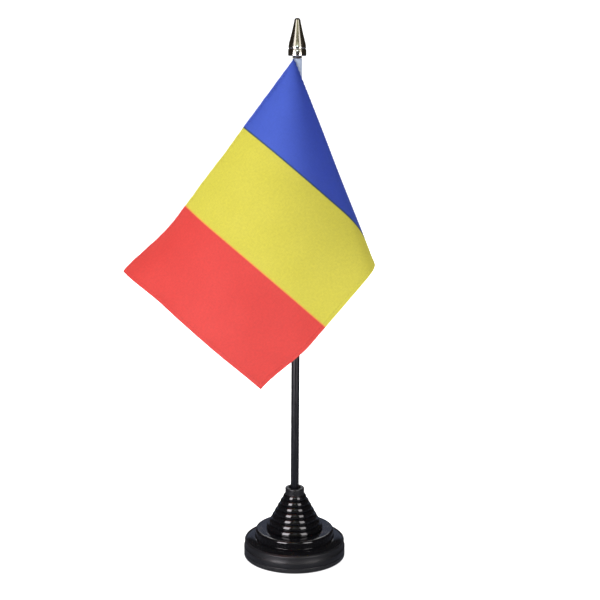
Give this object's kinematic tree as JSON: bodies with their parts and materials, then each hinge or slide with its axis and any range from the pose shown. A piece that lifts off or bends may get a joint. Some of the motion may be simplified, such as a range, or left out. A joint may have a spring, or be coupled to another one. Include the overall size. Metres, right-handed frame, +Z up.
{
  "type": "desk flag stand",
  "caption": "Table flag with a striped cloth draped from a slim black pole, plated pointed finial and a round ribbed weighted base.",
  "frame": {"origin": "on the pole axis at the underside of the anti-slip pad", "axes": "+Z up along the pole; the stand is seen from -Y, and the cloth drapes towards -X and in front of the pole"},
  "size_m": [0.1874, 0.117, 0.4173],
  "materials": {
    "gloss_black_plastic": "polished black moulding",
    "zinc_steel": "zinc plated, dull",
    "cover_black_plastic": "satin black moulding",
    "black_foam_rubber": "closed-cell foam, matt",
    "satin_black_plastic": "satin black extrusion",
    "plug_black_plastic": "matt black moulding",
    "nickel_plating": "warm bright nickel plating",
    "white_tape": "plain woven tape, matt",
    "printed_polyester": "printed polyester, three stripes"
  },
  "bodies": {
    "base": {"base_shell": "gloss_black_plastic", "ballast_disc": "zinc_steel", "bottom_cover": "cover_black_plastic", "anti_slip_pad": "black_foam_rubber"},
    "pole": {"pole_tube": "satin_black_plastic"},
    "finial": {"finial_plug": "plug_black_plastic", "finial_tip": "nickel_plating"},
    "flag": {"flag_sleeve": "white_tape", "flag_cloth": "printed_polyester"}
  },
  "joints": [
    {"name": "pole_lift", "type": "slide", "parent": "base", "child": "pole", "axis": [0, 0, 1], "range_m": [0, 0.05]},
    {"name": "finial_pull", "type": "slide", "parent": "pole", "child": "finial", "axis": [0, 0, 1], "range_m": [0, 0.016]},
    {"name": "flag_turn", "type": "hinge", "parent": "pole", "child": "flag", "pos_m": [0, 0, 0.388], "axis": [0, 0, 1], "continuous": true}
  ]
}
